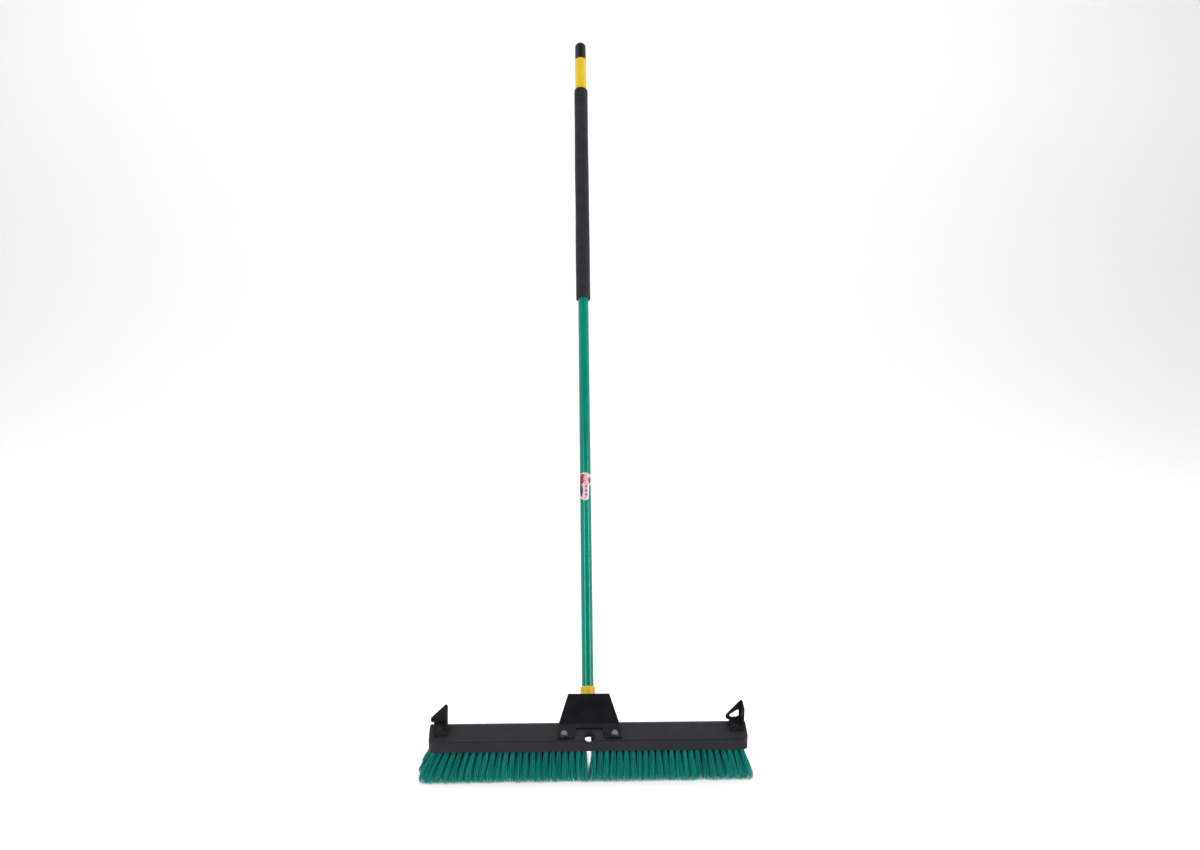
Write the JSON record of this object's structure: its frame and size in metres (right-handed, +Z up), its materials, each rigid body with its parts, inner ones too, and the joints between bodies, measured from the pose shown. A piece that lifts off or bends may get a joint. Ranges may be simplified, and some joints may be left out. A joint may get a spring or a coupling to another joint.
{
  "type": "push broom",
  "caption": "Wide push broom: roof-shaped block with synthetic tufts, folded steel bracket, and a screw-in tube handle with foam grip, collar and swivelling hanging cap.",
  "frame": {"origin": "on the floor at the bristle tips, under the middle of the block", "axes": "+X along the block to the right seen from the front; +Y to the side the handle leans to; +Z up"},
  "size_m": [0.5936, 0.8332, 1.4542],
  "materials": {
    "block_plastic": "fine satin moulding, charcoal",
    "bristle": "crimped synthetic filament, blue-green",
    "steel_wire": "drawn wire",
    "black_steel": "black powder coat, semi-gloss",
    "zinc_steel": "bright zinc plate",
    "hook_plastic": "black moulded nylon",
    "black_screw": "black oxide",
    "tip_plastic": "black nylon",
    "green_paint": "blue-green gloss enamel",
    "yellow_plastic": "warm yellow moulding",
    "foam": "closed-cell foam, charcoal",
    "cap_plastic": "black moulding",
    "label_film": "printed film"
  },
  "bodies": {
    "head": {"block": "block_plastic", "tuft_row_1_left": "bristle", "tuft_row_1_right": "bristle", "tuft_row_2_left": "bristle", "tuft_row_2_right": "bristle", "tuft_row_3_left": "bristle", "tuft_row_3_right": "bristle", "tuft_row_4_left": "bristle", "tuft_row_4_right": "bristle", "tuft_row_5_left": "bristle", "tuft_row_5_right": "bristle", "tuft_anchors": "steel_wire", "handle_bracket": "black_steel", "bracket_screws": "zinc_steel", "corner_hook_left": "hook_plastic", "corner_hook_right": "hook_plastic", "hook_screws": "black_screw"},
    "collar": {"handle_collar": "yellow_plastic"},
    "handle": {"threaded_tip": "tip_plastic", "handle_tube": "green_paint", "handle_rivet": "zinc_steel", "foam_grip": "foam", "end_sleeve": "yellow_plastic", "handle_label": "label_film"},
    "cap": {"end_cap": "cap_plastic"}
  },
  "joints": [
    {"name": "handle_travel", "type": "slide", "parent": "head", "child": "collar", "axis": [0, 0.4848, 0.8746], "range_m": [0, 0.0203]},
    {"name": "handle_turn", "type": "hinge", "parent": "collar", "child": "handle", "pos_m": [0, 0.02708, 0.08155], "axis": [0, 0.4848, 0.8746], "range_deg": [0, 1440]},
    {"name": "cap_swivel", "type": "hinge", "parent": "handle", "child": "cap", "pos_m": [0, 0.76302, 1.40922], "axis": [0, 0.4848, 0.8746], "continuous": true}
  ],
  "couplings": [
    {"joint": "handle_turn", "follows": "handle_travel", "rad_per_m": 1236.8}
  ]
}
